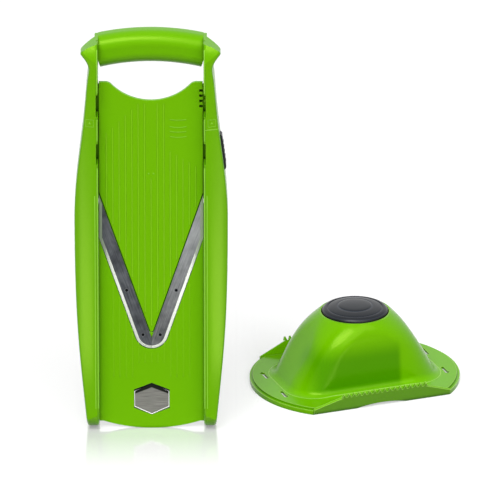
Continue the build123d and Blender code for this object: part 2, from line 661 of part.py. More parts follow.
def lock_button():
    """The button: a black soft-touch cap on the lever, proud of the rail and bowed like it."""
    back = lever_face()
    outline = inside_rail(BUTTON_PROUD, back, LOCK_HEIGHT - BUTTON_LENGTH / 2, LOCK_HEIGHT + BUTTON_LENGTH / 2)
    tips = [v for v in outline.vertices() if v.X > back + 1]
    outline = fillet(tips, BUTTON_RADIUS)
    return slab(outline, BUTTON_Y - BUTTON_DEPTH / 2, BUTTON_Y + BUTTON_DEPTH / 2)


def lock_spring():
    """The small compression spring between the channel wall and the lever's lower arm."""
    start = HALF_CHANNEL + CHANNEL_WALL + SPRING_WIRE / 2
    length = lever_face() - 3 - start - SPRING_WIRE / 2
    coil = coil_spring(SPRING_COIL, SPRING_WIRE, length, SPRING_TURNS)
    return Pos(start, LEVER_THICKNESS / 2, LOCK_HEIGHT - SPRING_BELOW_LOCK) * Rot(0, 90, 0) * coil


def coil_spring(radius, wire, length, turns):
    """A compression spring standing on the origin, its wire bent in short straight runs."""
    steps = turns * SPRING_SIDES
    turn = 2 * math.pi / SPRING_SIDES
    points = [(radius * math.cos(turn * i), radius * math.sin(turn * i), length * i / steps) for i in range(steps + 1)]
    path = Polyline(*points)
    section = Plane(origin=path @ 0, z_dir=path % 0) * RegularPolygon(wire / 2, 6)
    return sweep(section, path=path, transition=Transition.RIGHT)


def lock_cover():
    """The snap-in cover that keeps the lever and its pin in the rail."""
    low = LOCK_HEIGHT - BUTTON_LENGTH / 2 - 6
    high = CATCH_HEIGHT + 7
    region = inside_rail(-RAIL_WALL - COVER_FIT, HALF_CHANNEL + CHANNEL_WALL + COVER_FIT, low, high)
    front = LEVER_THICKNESS + COVER_GAP
    cover = slab(region, front, front + COVER_THICKNESS)
    return cover - pivot_pin()


# ================================================================ food holder

def brim_plan(inset=0):
    """The holder's plan: two wide arcs clipped straight at front and back."""
    radius = BRIM_RADIUS - inset
    depth = BRIM_DEPTH / 2
    corner = BRIM_SPREAD + math.sqrt(radius ** 2 - depth ** 2)
    return Sketch() + closed(
        ThreePointArc((corner, -depth), (BRIM_SPREAD + radius, 0), (corner, depth)),
        Line((corner, depth), (-corner, depth)),
        ThreePointArc((-corner, depth), (-BRIM_SPREAD - radius, 0), (-corner, -depth)),
        Line((-corner, -depth), (corner, -depth)),
    )


def crown_body(inset, drop, top_limit):
    """The hat-shaped crown, lofted through rounded sections from brim to knob seat."""
    sections = []
    for z, across, along, corner in CROWN_SECTIONS:
        if z <= top_limit:
            size = (2 * (across - inset), 2 * (along - inset))
            sections.append(Pos(0, 0, z - drop) * RectangleRounded(*size, corner - inset))
    return loft(sections)


def comb(width_foot):
    """A leaning wall with a toothed top edge, standing on the floor along the brim's straight side."""
    slant = COMB_HEIGHT / math.cos(math.radians(COMB_LEAN))
    root = slant - COMB_DEPTH
    foot = width_foot
    half = COMB_WIDTH / 2
    points = [(-foot, 0), (-foot, BRIM_TOP), (-half, root)]
    for i in range(COMB_TEETH):
        x = (i - (COMB_TEETH - 1) / 2) * COMB_PITCH
        points += [(x - COMB_PITCH * 0.36, root), (x - 0.4, slant), (x + 0.4, slant), (x + COMB_PITCH * 0.36, root)]
    points += [(half, root), (foot, BRIM_TOP), (foot, 0)]
    wall = Sketch() + make_face(Polyline(*points, close=True))
    wall -= closed(ThreePointArc((-ARCH_WIDTH / 2, 0), (0, ARCH_HEIGHT), (ARCH_WIDTH / 2, 0)),
                   Line((ARCH_WIDTH / 2, 0), (-ARCH_WIDTH / 2, 0)))
    upright = slab(wall, 0, COMB_THICKNESS)
    return Pos(0, -BRIM_DEPTH / 2, 0) * Rot(COMB_LEAN, 0, 0) * upright


def arrow():
    """An arrow-shaped opening: a stem with a pointed head, pointing along +Y."""
    stem = ARROW_STEM / 2
    head = ARROW_HEAD / 2
    half = ARROW_LENGTH / 2
    points = [(-stem, -half), (-stem, half - head - 1), (-head, half - head - 1), (0, half)]
    mirrored = [(-x, y) for x, y in reversed(points)]
    return make_face(Polyline(*points, *mirrored[1:], close=True))


def crown_hollow():
    """The space under the crown, left by its wall, with the knob's well and the stem's guide standing in it."""
    first = CROWN_SECTIONS[0]
    size = (2 * (first[1] - CROWN_WALL), 2 * (first[2] - CROWN_WALL))
    mouth = extrude(RectangleRounded(*size, first[3] - CROWN_WALL), first[0])
    hollow = mouth + crown_body(CROWN_WALL, 0, CROWN_SECTIONS[-2][0])
    cup_bottom = WELL_FLOOR - CROWN_WALL
    hollow -= upright_cylinder(WELL_RADIUS + CROWN_WALL, cup_bottom, CROWN_SECTIONS[-1][0])
    return hollow - upright_cylinder(GUIDE_RADIUS, GUIDE_BOTTOM, WELL_FLOOR)


def upright_cylinder(radius, low, high):
    """A cylinder about the Z axis between two heights."""
    return Pos(0, 0, (low + high) / 2) * Cylinder(radius, high - low)


def crown_block():
    """The space that the crown takes, with a collar of the brim round its foot."""
    foot, across, along, corner = CROWN_SECTIONS[0]
    size = (2 * (across + CROWN_COLLAR), 2 * (along + CROWN_COLLAR))
    return Pos(0, 0, -1) * extrude(RectangleRounded(*size, corner + CROWN_COLLAR), CROWN_SECTIONS[-1][0] + 2)


def holder_moulding():
    """Brim, combs, crown, knob well and guide tube together."""
    bottom = BRIM_TOP - BRIM_THICKNESS
    crown_top = CROWN_SECTIONS[-1][0]
    shell = Pos(0, 0, bottom) * extrude(brim_plan(RIM_STEP), BRIM_THICKNESS)
    shell += crown_body(0, 0, crown_top)
    foot_edges = [e for e in shell.edges() if abs((e @ 0.5).Z - BRIM_TOP) < 0.01 and inside_brim(e @ 0.5)]
    shell = fillet(foot_edges, CROWN_FOOT_RADIUS)
    shell += extrude(brim_plan() - brim_plan(RIM_WIDTH), RIM_TOP)
    foot = BRIM_SPREAD + math.sqrt(BRIM_RADIUS ** 2 - (BRIM_DEPTH / 2) ** 2) - 0.4
    front = comb(foot)
    shell += front
    shell += Rot(0, 0, 180) * front
    for side in (-1, 1):
        for end in (-1, 1):
            cut = Pos(side * ARROW_ACROSS, end * ARROW_ALONG, 0) * Rot(0, 0, 90 - 90 * end) * arrow()
            shell -= extrude(cut, BRIM_TOP + 3)
            x = side * (HALF_CHANNEL - GUIDE_RIB)
            low, high = sorted((end * (CROWN_SECTIONS[0][2] + CROWN_COLLAR), end * (BRIM_DEPTH / 2 - 3)))
            shell += block(x - GUIDE_RIB / 2, x + GUIDE_RIB / 2, low, high, GUIDE_LIFT, bottom)
    shell -= crown_hollow()
    shell -= upright_cylinder(WELL_RADIUS, WELL_FLOOR, crown_top + 1)
    return shell - upright_cylinder(STEM_RADIUS + STEM_CLEARANCE, 0, crown_top)


def inside_brim(point):
    """Whether a point lies well inside the brim's outline."""
    return abs(point.Y) < BRIM_DEPTH / 2 - 5 and abs(point.X) < ARROW_ACROSS


def turned(*edges):
    """A solid turned about the Z axis from a closed half-section in the XZ plane."""
    return revolve(Plane.XZ * closed(*edges), Axis.Z)


def knob():
    """The black push knob: a low dome with a skirt that sinks into the well, and a socket for the stem."""
    rim = KNOB_BOTTOM + KNOB_EDGE
    top = rim + KNOB_DOME
    outer = dome_line(KNOB_RADIUS, rim, top)
    cap = turned(outer, Polyline((0, top), (0, KNOB_BOTTOM), (KNOB_RADIUS, KNOB_BOTTOM), (KNOB_RADIUS, rim)))
    edge = [e for e in cap.edges() if abs((e @ 0.5).Z - rim) < 0.01]
    cap = fillet(edge, 1.4)
    inner_radius = KNOB_RADIUS - KNOB_WALL
    inner = dome_line(inner_radius, rim - KNOB_WALL / 2, top - KNOB_WALL)
    cap -= turned(inner, Polyline((0, top - KNOB_WALL), (0, KNOB_BOTTOM), (inner_radius, KNOB_BOTTOM),
                                  (inner_radius, rim - KNOB_WALL / 2)))
    socket = upright_cylinder(STEM_RADIUS + KNOB_WALL, KNOB_BOTTOM, top - KNOB_WALL)
    cap += socket - upright_cylinder(STEM_RADIUS + SOCKET_CLEARANCE, KNOB_BOTTOM, stem_top())
    return cap


def dome_line(radius, rim, top):
    """The arc of a low dome from its rim to its middle."""
    rise = top - rim
    sphere = (radius ** 2 + rise ** 2) / (2 * rise)
    middle = radius / 2
    height = top - sphere + math.sqrt(sphere ** 2 - middle ** 2)
    return ThreePointArc((radius, rim), (middle, height), (0, top))


def stem_top():
    """Height at which the stem ends inside the knob's socket."""
    return KNOB_BOTTOM + KNOB_EDGE + KNOB_DOME - KNOB_WALL - 1.5


def clip_height():
    """Underside of the clip that stops the stem against the guide tube."""
    return GUIDE_BOTTOM - CLIP_GAP - CLIP_THICKNESS


def plunger_stem():
    """The stem between knob and pin plate, with a groove for its clip and a screw hole below."""
    low = PLATE_BOTTOM + PLATE_THICKNESS
    stem = upright_cylinder(STEM_RADIUS, low, stem_top())
    ring = upright_cylinder(STEM_RADIUS + 1, clip_height(), clip_height() + CLIP_THICKNESS)
    stem -= ring - upright_cylinder(STEM_RADIUS - CLIP_GROOVE, 0, stem_top())
    return stem - upright_cylinder(SCREW_RADIUS, low - 1, low + SCREW_LENGTH)


def stem_clip():
    """A spring-steel clip in the stem's groove, open at one side."""
    ring = upright_cylinder(STEM_RADIUS - CLIP_GROOVE + CLIP_WIDTH, clip_height(), clip_height() + CLIP_THICKNESS)
    ring -= upright_cylinder(STEM_RADIUS - CLIP_GROOVE, 0, stem_top())
    mouth = STEM_RADIUS - CLIP_GROOVE
    return ring - block(0, 2 * STEM_RADIUS, -mouth, mouth, 0, stem_top())


def pin_places():
    """Where the food pins stand in the pin plate."""
    turn = 2 * math.pi / PIN_COUNT
    return [(PIN_RING[0] * math.cos(turn * i), PIN_RING[1] * math.sin(turn * i)) for i in range(PIN_COUNT)]


def pin_plate():
    """The oval plate that pushes the food down and carries the pins."""
    plate = Pos(0, 0, PLATE_BOTTOM) * extrude(RectangleRounded(*PLATE_SIZE, PLATE_SIZE[1] * 0.44), PLATE_THICKNESS)
    plate -= upright_cylinder(SCREW_RADIUS, 0, PLATE_BOTTOM + 2 * PLATE_THICKNESS)
    for x, y in pin_places():
        plate -= Pos(x, y, 0) * upright_cylinder(PIN_SIZE, 0, PLATE_BOTTOM + PLATE_THICKNESS - 0.8)
    return plate


def food_pins():
    """Pointed steel pins set in the plate."""
    top = PLATE_BOTTOM + PLATE_THICKNESS - 0.8
    tip = PLATE_BOTTOM - PIN_LENGTH
    pin = turned(Polyline((0, tip), (PIN_SIZE, tip + 3 * PIN_SIZE), (PIN_SIZE, top), (0, top), (0, tip)))
    return Compound(children=[Pos(x, y, 0) * pin for x, y in pin_places()])


def stem_screw():
    """The screw that holds the pin plate to the stem."""
    head = upright_cylinder(SCREW_HEAD, PLATE_BOTTOM - SCREW_HEAD * 0.6, PLATE_BOTTOM)
    shank = upright_cylinder(SCREW_RADIUS, PLATE_BOTTOM, PLATE_BOTTOM + PLATE_THICKNESS + SCREW_LENGTH)
    low = PLATE_BOTTOM - SCREW_HEAD * 0.6
    slot = block(-SCREW_HEAD, SCREW_HEAD, -0.5, 0.5, low - 1, low + 0.9)
    return head + shank - slot


def return_spring():
    """The coil spring that lifts the knob, standing on the well's floor."""
    low = WELL_FLOOR + RETURN_WIRE / 2
    rim = KNOB_BOTTOM + KNOB_EDGE
    ceiling = rim + KNOB_DOME - KNOB_WALL - KNOB_DOME * (RETURN_COIL / KNOB_RADIUS) ** 2
    length = ceiling - RETURN_WIRE - WELL_FLOOR - SPRING_SLACK
    return Pos(0, 0, low) * coil_spring(RETURN_COIL, RETURN_WIRE, length, RETURN_TURNS)


# ================================================================ the whole set

def bottom_centre(boxes):
    """The move that brings the middle of the whole set's base to the origin."""
    low = [min(getattr(box.min, axis) for box in boxes) for axis in "XYZ"]
    high = [max(getattr(box.max, axis) for box in boxes) for axis in "XYZ"]
    return Pos(-(low[0] + high[0]) / 2, -(low[1] + high[1]) / 2, -low[2])


def main():
    slicer = {
        "rail_right": rail_right(),
        "rail_left": rail_left(),
        "grip_bar": between_rails(grip()),
        "deck_plate": between_rails(deck()),
        "blade_right": blade(1),
        "blade_left": blade(-1),
        "blade_eyelets": eyelets(),
        "badge_plate": badge_plate(),
        "lock_cover": lock_cover(),
        "lock_pin": pivot_pin(),
        "slide_insert": slide_insert(),
        "lock_lever": lock_lever(),
        "lock_button": lock_button(),
        "lock_spring": lock_spring(),
    }
    moulding = holder_moulding()
    holder = {
        "holder_brim": moulding - crown_block(),
        "holder_crown": moulding & crown_block(),
        "knob": knob(),
        "plunger_stem": plunger_stem(),
        "stem_clip": stem_clip(),
        "pin_plate": pin_plate(),
        "food_pins": food_pins(),
        "stem_screw": stem_screw(),
        "return_spring": return_spring(),
    }
    place = Pos(HOLDER_PLACE[0], HOLDER_PLACE[1], 0) * Rot(0, 0, HOLDER_TURN)
    pieces = dict(slicer)
    pieces.update({name: place * piece for name, piece in holder.items()})
    to_middle = bottom_centre([piece.bounding_box() for piece in pieces.values()])
    os.makedirs("parts", exist_ok=True)
    for name, piece in pieces.items():
        export_step(to_middle * piece, f"parts/{name}.step")


if __name__ == "__main__":
    main()
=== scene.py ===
# A mandoline slicer of green plastic stands on the lower ends of its two rails.
# Its loose food holder lies on the same floor, to the right of it and behind it.
import math

import bpy
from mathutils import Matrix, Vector


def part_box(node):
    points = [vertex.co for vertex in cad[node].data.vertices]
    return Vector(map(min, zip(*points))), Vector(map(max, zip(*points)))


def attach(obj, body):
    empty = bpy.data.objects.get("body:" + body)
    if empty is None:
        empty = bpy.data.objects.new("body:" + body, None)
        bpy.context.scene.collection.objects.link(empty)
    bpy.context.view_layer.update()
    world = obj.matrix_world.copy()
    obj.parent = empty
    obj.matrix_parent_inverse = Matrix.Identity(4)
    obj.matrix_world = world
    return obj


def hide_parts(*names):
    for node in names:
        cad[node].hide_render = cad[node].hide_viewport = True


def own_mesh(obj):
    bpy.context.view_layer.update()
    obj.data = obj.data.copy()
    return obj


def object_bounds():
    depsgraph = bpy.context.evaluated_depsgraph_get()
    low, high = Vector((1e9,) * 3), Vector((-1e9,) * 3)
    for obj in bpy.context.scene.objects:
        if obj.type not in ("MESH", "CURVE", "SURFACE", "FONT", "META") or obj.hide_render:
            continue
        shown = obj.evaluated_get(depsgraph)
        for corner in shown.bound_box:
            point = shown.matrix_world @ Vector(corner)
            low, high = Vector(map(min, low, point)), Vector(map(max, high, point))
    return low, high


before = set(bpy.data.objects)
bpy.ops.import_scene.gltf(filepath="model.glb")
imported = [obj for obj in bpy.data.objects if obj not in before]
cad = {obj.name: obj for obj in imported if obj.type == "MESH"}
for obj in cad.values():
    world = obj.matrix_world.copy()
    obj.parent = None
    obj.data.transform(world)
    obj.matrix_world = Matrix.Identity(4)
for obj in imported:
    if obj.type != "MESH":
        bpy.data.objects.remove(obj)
cad_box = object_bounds()
MM = 0.001

# ------------------------------------------------------------------ studio
# A white sweep of floor under soft, even light, as for a catalogue picture.
# The camera has a long lens and looks a little down on the set.


def linear(code):
    """An sRGB hex colour as linear red, green, blue and full alpha."""
    channels = [int(code[i:i + 2], 16) / 255 for i in (1, 3, 5)]
    return tuple(c / 12.92 if c <= 0.04045 else ((c + 0.055) / 1.055) ** 2.4 for c in channels) + (1.0,)


def add(tree, kind, values=None, links=None, **settings):
    """Adds one node with its settings, its inputs' values and the outputs that feed its other inputs."""
    made = tree.nodes.new(kind)
    for name, value in settings.items():
        setattr(made, name, value)
    for name, value in (values or {}).items():
        made.inputs[name].default_value = value
    for name, output in (links or {}).items():
        tree.links.new(output, made.inputs[name])
    return made


def new_material(name):
    """An empty material and its node tree."""
    made = bpy.data.materials.new(name)
    made.use_nodes = True
    made.node_tree.nodes.clear()
    return made, made.node_tree


scene = bpy.context.scene
scene.view_settings.view_transform = "Standard"


def looked_at(tree):
    """1 where the camera or a reflection looks at a surface, and 0 for the light that it sends on."""
    paths = add(tree, "ShaderNodeLightPath")
    seen = add(tree, "ShaderNodeMath", operation="MAXIMUM",
               links={0: paths.outputs["Is Camera Ray"], 1: paths.outputs["Is Glossy Ray"]})
    return seen.outputs[0]


SKY_LIGHT = 0.28
sky = bpy.data.worlds.new("studio")
sky.use_nodes = True
tree = sky.node_tree
tree.nodes.clear()
light = add(tree, "ShaderNodeBackground", {"Color": linear("#ffffff"), "Strength": SKY_LIGHT})
white = add(tree, "ShaderNodeBackground", {"Color": linear("#ffffff"), "Strength": 1.0})
either = add(tree, "ShaderNodeMixShader",
             links={"Fac": looked_at(tree), 1: light.outputs[0], 2: white.outputs[0]})
add(tree, "ShaderNodeOutputWorld", links={"Surface": either.outputs[0]})
scene.world = sky

# the sheet is polished where the slicer stands, and the polish fades out to the front and to the right
FLOOR_REACH, POLISH = 7.0, 0.42
FRONT_FADE, RIGHT_FADE = (-0.205, -0.115), (-0.01, -0.03)
bpy.ops.object.select_all(action="DESELECT")
bpy.ops.mesh.primitive_plane_add(size=2 * FLOOR_REACH, location=(0, 0, cad_box[0].z))
floor = bpy.context.object
floor.name = "floor"
paper, tree = new_material("white_acrylic_sheet")
# looked at, the sheet is white; the light that it throws up on the set is that of a grey one
matt = add(tree, "ShaderNodeBsdfDiffuse", {"Color": linear("#b0b0b0"), "Roughness": 0.5})
white_matt = add(tree, "ShaderNodeBsdfDiffuse", {"Color": linear("#fcfcfc"), "Roughness": 0.5})
glow = add(tree, "ShaderNodeEmission", {"Color": linear("#ffffff"), "Strength": 1.0})
white = add(tree, "ShaderNodeMixShader", {"Fac": 0.5}, {1: white_matt.outputs[0], 2: glow.outputs[0]})
shine = add(tree, "ShaderNodeBsdfGlossy", {"Color": linear("#ffffff"), "Roughness": 0.13})
here = add(tree, "ShaderNodeTexCoord").outputs["Object"]
spot = add(tree, "ShaderNodeSeparateXYZ", links={"Vector": here})
front = add(tree, "ShaderNodeMapRange", {"From Min": FRONT_FADE[0], "From Max": FRONT_FADE[1]},
            {"Value": spot.outputs["Y"]})
beside = add(tree, "ShaderNodeMapRange",
             {"From Min": RIGHT_FADE[0], "From Max": RIGHT_FADE[1], "To Max": POLISH},
             {"Value": spot.outputs["X"]})
polish = add(tree, "ShaderNodeMath", operation="MULTIPLY",
             links={0: front.outputs["Result"], 1: beside.outputs["Result"]})
gloss = add(tree, "ShaderNodeMixShader",
            links={"Fac": polish.outputs[0], 1: white.outputs[0], 2: shine.outputs[0]})
blend = add(tree, "ShaderNodeMixShader",
            links={"Fac": looked_at(tree), 1: matt.outputs[0], 2: gloss.outputs[0]})
add(tree, "ShaderNodeOutputMaterial", links={"Surface": blend.outputs[0]})
floor.data.materials.append(paper)


def lamp(name, strength, azimuth, elevation, spread):
    """A broad lamp that shines at the set from a compass angle and a height angle, all in degrees."""
    data = bpy.data.lights.new(name, "SUN")
    data.energy = strength
    data.angle = math.radians(spread)
    a, e = math.radians(azimuth), math.radians(elevation)
    towards = Vector((math.sin(a) * math.cos(e), -math.cos(a) * math.cos(e), math.sin(e)))
    shown = bpy.data.objects.new(name, data)
    shown.rotation_euler = towards.to_track_quat("Z", "Y").to_euler()
    scene.collection.objects.link(shown)


lamp("key", strength=2.1, azimuth=-20, elevation=53, spread=30)
lamp("fill", strength=1.25, azimuth=24, elevation=42, spread=45)


def reflector(name, foot, near, far, strength):
    """A bright card flat on the floor that only reflections show.

    Each of its corners is a compass angle and a reach from the foot point.
    """
    bpy.ops.object.select_all(action="DESELECT")
    bpy.ops.mesh.primitive_plane_add(size=1, location=(0, 0, 0))
    card = bpy.context.object
    for vertex, (angle, reach) in zip(card.data.vertices, near + far):
        out = Vector((math.sin(math.radians(angle)), -math.cos(math.radians(angle)), 0)) * reach
        vertex.co = Vector((foot[0], foot[1], cad_box[0].z + MM)) + out
    card.name = name
    card.visible_camera = card.visible_diffuse = card.visible_shadow = False
    card_light, tree = new_material(name + "_card")
    glow = add(tree, "ShaderNodeEmission", {"Color": linear("#ffffff"), "Strength": strength})
    # the floor just under the card must not mirror it
    clear = add(tree, "ShaderNodeBsdfTransparent")
    paths = add(tree, "ShaderNodeLightPath")
    far_off = add(tree, "ShaderNodeMath", {1: 20 * MM}, {0: paths.outputs["Ray Length"]},
                  operation="GREATER_THAN")
    shown = add(tree, "ShaderNodeMixShader",
                links={"Fac": far_off.outputs[0], 1: clear.outputs[0], 2: glow.outputs[0]})
    add(tree, "ShaderNodeOutputMaterial", links={"Surface": shown.outputs[0]})
    card.data.materials.append(card_light)


reflector("left_card", foot=(-0.160, -0.105), near=((-54, 0.16), (-22, 0.14)),
          far=((-54, 0.70), (-22, 0.46)), strength=6.4)
reflector("right_card", foot=(-0.050, -0.105), near=((24, 0.14), (56, 0.16)),
          far=((24, 0.46), (56, 0.70)), strength=7.0)

CAMERA_RISE = math.radians(22)
CAMERA_DISTANCE = 10.0
PICTURE_WIDTH = 0.4542
AIM = Vector((-0.0172, -0.05, 0.156))
camera = bpy.data.objects.new("camera", bpy.data.cameras.new("camera"))
camera.data.sensor_width = 36
camera.data.lens = 36 * CAMERA_DISTANCE / PICTURE_WIDTH
backwards = Vector((0, -math.cos(CAMERA_RISE), math.sin(CAMERA_RISE)))
camera.location = AIM + backwards * CAMERA_DISTANCE
camera.rotation_euler = backwards.to_track_quat("Z", "Y").to_euler()
scene.collection.objects.link(camera)
scene.camera = camera

# ------------------------------------------------------------------ slicer frame
# The rails, the grip and the deck are injection mouldings in bright green ABS.
# The tool's polish leaves their faces smooth and glossy, with a faint orange peel.


def blended(tree, amount, tone, code, how="MIX"):
    """A colour that goes from a tone to a hex colour by an amount."""
    made = add(tree, "ShaderNodeMix", {7: linear(code)}, {0: amount, 6: tone},
               data_type="RGBA", blend_type=how)
    return made.outputs[2]


def moulded_plastic(name, colour, deeper, painted_highlight_colour, painted_shade_colour, roughness, peel,
                    gloss_level=0.5, gloss_tint="#ffffff", painted_highlight_amount=0.4, proud=None, painted_top_highlight=0.35):
    """Injection-moulded ABS: a fine mottle, a painted highlight on its edges, painted shade in its creases
    and a faint orange peel.
    """
    made, tree = new_material(name)
    here = add(tree, "ShaderNodeTexCoord").outputs["Object"]
    # the waves of the peel are about 1.2 mm long, and the tool's fine texture is drawn at 0.4 mm to show
    grain = add(tree, "ShaderNodeTexNoise", {"Scale": 800.0, "Detail": 2.0}, {"Vector": here})
    fine = add(tree, "ShaderNodeTexNoise", {"Scale": 2600.0, "Detail": 2.0}, {"Vector": here})
    ramp = add(tree, "ShaderNodeValToRGB", links={"Fac": fine.outputs["Fac"]})
    ramp.color_ramp.elements[0].position, ramp.color_ramp.elements[0].color = 0.3, linear(deeper)
    ramp.color_ramp.elements[1].position, ramp.color_ramp.elements[1].color = 0.7, linear(colour)
    # how near the piece's other faces are tells ridges, from inside, and creases, from outside: ridges get a
    # painted highlight, creases painted shade
    ridge = add(tree, "ShaderNodeAmbientOcclusion", {"Distance": 0.8 * MM},
                samples=8, inside=True, only_local=True)
    # painted highlight: edges and ridges are made paler
    painted_highlight_mix = add(tree, "ShaderNodeMapRange", {"From Min": 0.9, "From Max": 0.5, "To Max": painted_highlight_amount},
                 {"Value": ridge.outputs["AO"]})
    if proud is not None:
        # whatever stands in front of this depth is the top of a rib, which gets a paler painted highlight
        apart = add(tree, "ShaderNodeSeparateXYZ", links={"Vector": here})
        topmost = add(tree, "ShaderNodeMapRange",
                      {"From Min": proud, "From Max": proud - 0.08 * MM, "To Max": painted_top_highlight},
                      {"Value": apart.outputs["Y"]})
        painted_highlight_mix = add(tree, "ShaderNodeMath", operation="MAXIMUM",
                     links={0: painted_highlight_mix.outputs["Result"], 1: topmost.outputs["Result"]})
    # painted shade: creases and hollows are darkened
    hollow = add(tree, "ShaderNodeAmbientOcclusion", {"Distance": 5.0 * MM}, samples=8)
    shaded = add(tree, "ShaderNodeMapRange", {"From Min": 0.8, "From Max": 0.2, "To Max": 0.9},
                 {"Value": hollow.outputs["AO"]})
    paler = blended(tree, painted_highlight_mix.outputs[0], ramp.outputs["Color"], painted_highlight_colour)
    tone = blended(tree, shaded.outputs["Result"], paler, painted_shade_colour)
    gloss = add(tree, "ShaderNodeMapRange", {"To Min": roughness * 0.85, "To Max": roughness * 1.15},
                {"Value": fine.outputs["Fac"]})
    soft = add(tree, "ShaderNodeBevel", {"Radius": 0.35 * MM}, samples=4)
    bump = add(tree, "ShaderNodeBump", {"Strength": peel, "Distance": 0.1 * MM},
               {"Height": grain.outputs["Fac"], "Normal": soft.outputs["Normal"]})
    skin = add(tree, "ShaderNodeBsdfPrincipled",
               {"IOR": 1.5, "Specular IOR Level": gloss_level, "Specular Tint": linear(gloss_tint)},
               {"Base Color": tone, "Roughness": gloss.outputs["Result"], "Normal": bump.outputs["Normal"]})
    add(tree, "ShaderNodeOutputMaterial", links={"Surface": skin.outputs[0]})
    return made


def finish(piece, material):
    """Gives a piece or a CAD node one material."""
    piece.data.materials.clear()
    piece.data.materials.append(material)


GREEN_GLOSS = {"gloss_level": 0.35, "gloss_tint": "#e4ff6a"}
green_abs = moulded_plastic("green_abs", "#6cb400", "#67ae00", "#98d43c", "#083e00",
                            roughness=0.28, peel=0.10, **GREEN_GLOSS)
for name in ("rail_right", "rail_left", "grip_bar", "lock_cover"):
    finish(cad[name], green_abs)
# painted light: the deck is painted a shade lighter than the rails
deck_abs = moulded_plastic("deck_green_abs", "#70b900", "#6bb300", "#98d43c", "#083e00",
                           roughness=0.28, peel=0.10, **GREEN_GLOSS)
finish(cad["deck_plate"], deck_abs)

deck_low, deck_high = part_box("deck_plate")
MIDDLE = (deck_low.x + deck_high.x) / 2
FACE = deck_low.y
HALF_CHANNEL = (deck_high.x - deck_low.x) / 2


def nothing_selected():
    """The operators act on all that is selected, so a new piece starts with nothing selected."""
    bpy.ops.object.select_all(action="DESELECT")


def apply_modifier(piece, kind, **settings):
    """Adds one modifier to the active piece and applies it."""
    made = piece.modifiers.new(kind.lower(), kind)
    for key, value in settings.items():
        setattr(made, key, value)
    bpy.ops.object.modifier_apply(modifier=made.name)


def done(name, body, material, smooth=30):
    """Puts the active piece's place into its mesh, names it, and lets it ride on its body in its finish."""
    piece = bpy.context.object
    bpy.ops.object.transform_apply(location=True, rotation=True, scale=True)
    bpy.ops.object.shade_smooth_by_angle(angle=math.radians(smooth))
    piece.name = name
    finish(piece, material)
    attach(piece, body)


# flat pieces are drawn upright in front of the slicer and then laid on its face
STAND_OFF = 40 * MM
UPRIGHT = (math.pi / 2, 0, 0)


def lay_on(piece, target):
    """Moves each point of the active piece straight back onto the face of a CAD node."""
    apply_modifier(piece, "SHRINKWRAP", target=cad[target], wrap_method="PROJECT", use_project_y=True,
                   use_negative_direction=False, use_positive_direction=True)


def strip_on(target, x, low, high, width, rise, across=1):
    """A thin raised strip that follows the face of a CAD node, from a height low to a height high."""
    nothing_selected()
    centre = (x, FACE - STAND_OFF, (low + high) / 2)
    bpy.ops.mesh.primitive_plane_add(size=1, location=centre, rotation=UPRIGHT)
    piece = bpy.context.object
    bpy.ops.transform.resize(value=(width, 1, high - low))
    bpy.ops.object.transform_apply(location=True, rotation=True, scale=True)
    bpy.ops.object.mode_set(mode="EDIT")
    bpy.ops.mesh.select_all(action="SELECT")
    bpy.ops.mesh.subdivide(number_cuts=across)
    bpy.ops.object.mode_set(mode="OBJECT")
    lay_on(piece, target)
    apply_modifier(piece, "SOLIDIFY", thickness=2 * rise, offset=0)
    apply_modifier(piece, "BEVEL", width=rise * 0.6, segments=2, limit_method="ANGLE")


# ------------------------------------------------------------------ beads on the rails
# Two fine raised beads run up each rail beside the channel, the inner one along the very edge.
# Both are moulded with the rail, and are painted paler than it as a painted highlight.
painted_highlight_abs = moulded_plastic("painted_highlight_green_abs", "#90d63c", "#88cc32", "#a4e052", "#2c6a08",
                             roughness=0.3, peel=0.08, **GREEN_GLOSS)
EDGE_OUT, EDGE_WIDTH = 0.8 * MM, 1.0 * MM
LINE_OUT, LINE_WIDTH, LINE_FOOT, LINE_TOP = 3.1 * MM, 0.75 * MM, 11 * MM, 232 * MM
BEAD_RISE, BEAD_CUTS = 0.25 * MM, 14
# the slots beside the lock and the rack break the inner bead
EDGE_RUNS = ((9 * MM, 259 * MM), (285 * MM, 306 * MM), (331 * MM, 371 * MM))
for side, node in ((1, "rail_right"), (-1, "rail_left")):
    edge_x = MIDDLE + side * (HALF_CHANNEL + EDGE_OUT)
    line_x = MIDDLE + side * (HALF_CHANNEL + LINE_OUT)
    for i, (low, high) in enumerate(EDGE_RUNS):
        strip_on(node, edge_x, low, high, EDGE_WIDTH, BEAD_RISE, BEAD_CUTS)
        done(f"{node}_edge_bead_{i + 1}", "frame", painted_highlight_abs)
    strip_on(node, line_x, LINE_FOOT, LINE_TOP, LINE_WIDTH, BEAD_RISE, BEAD_CUTS)
    done(f"{node}_bead", "frame", painted_highlight_abs)
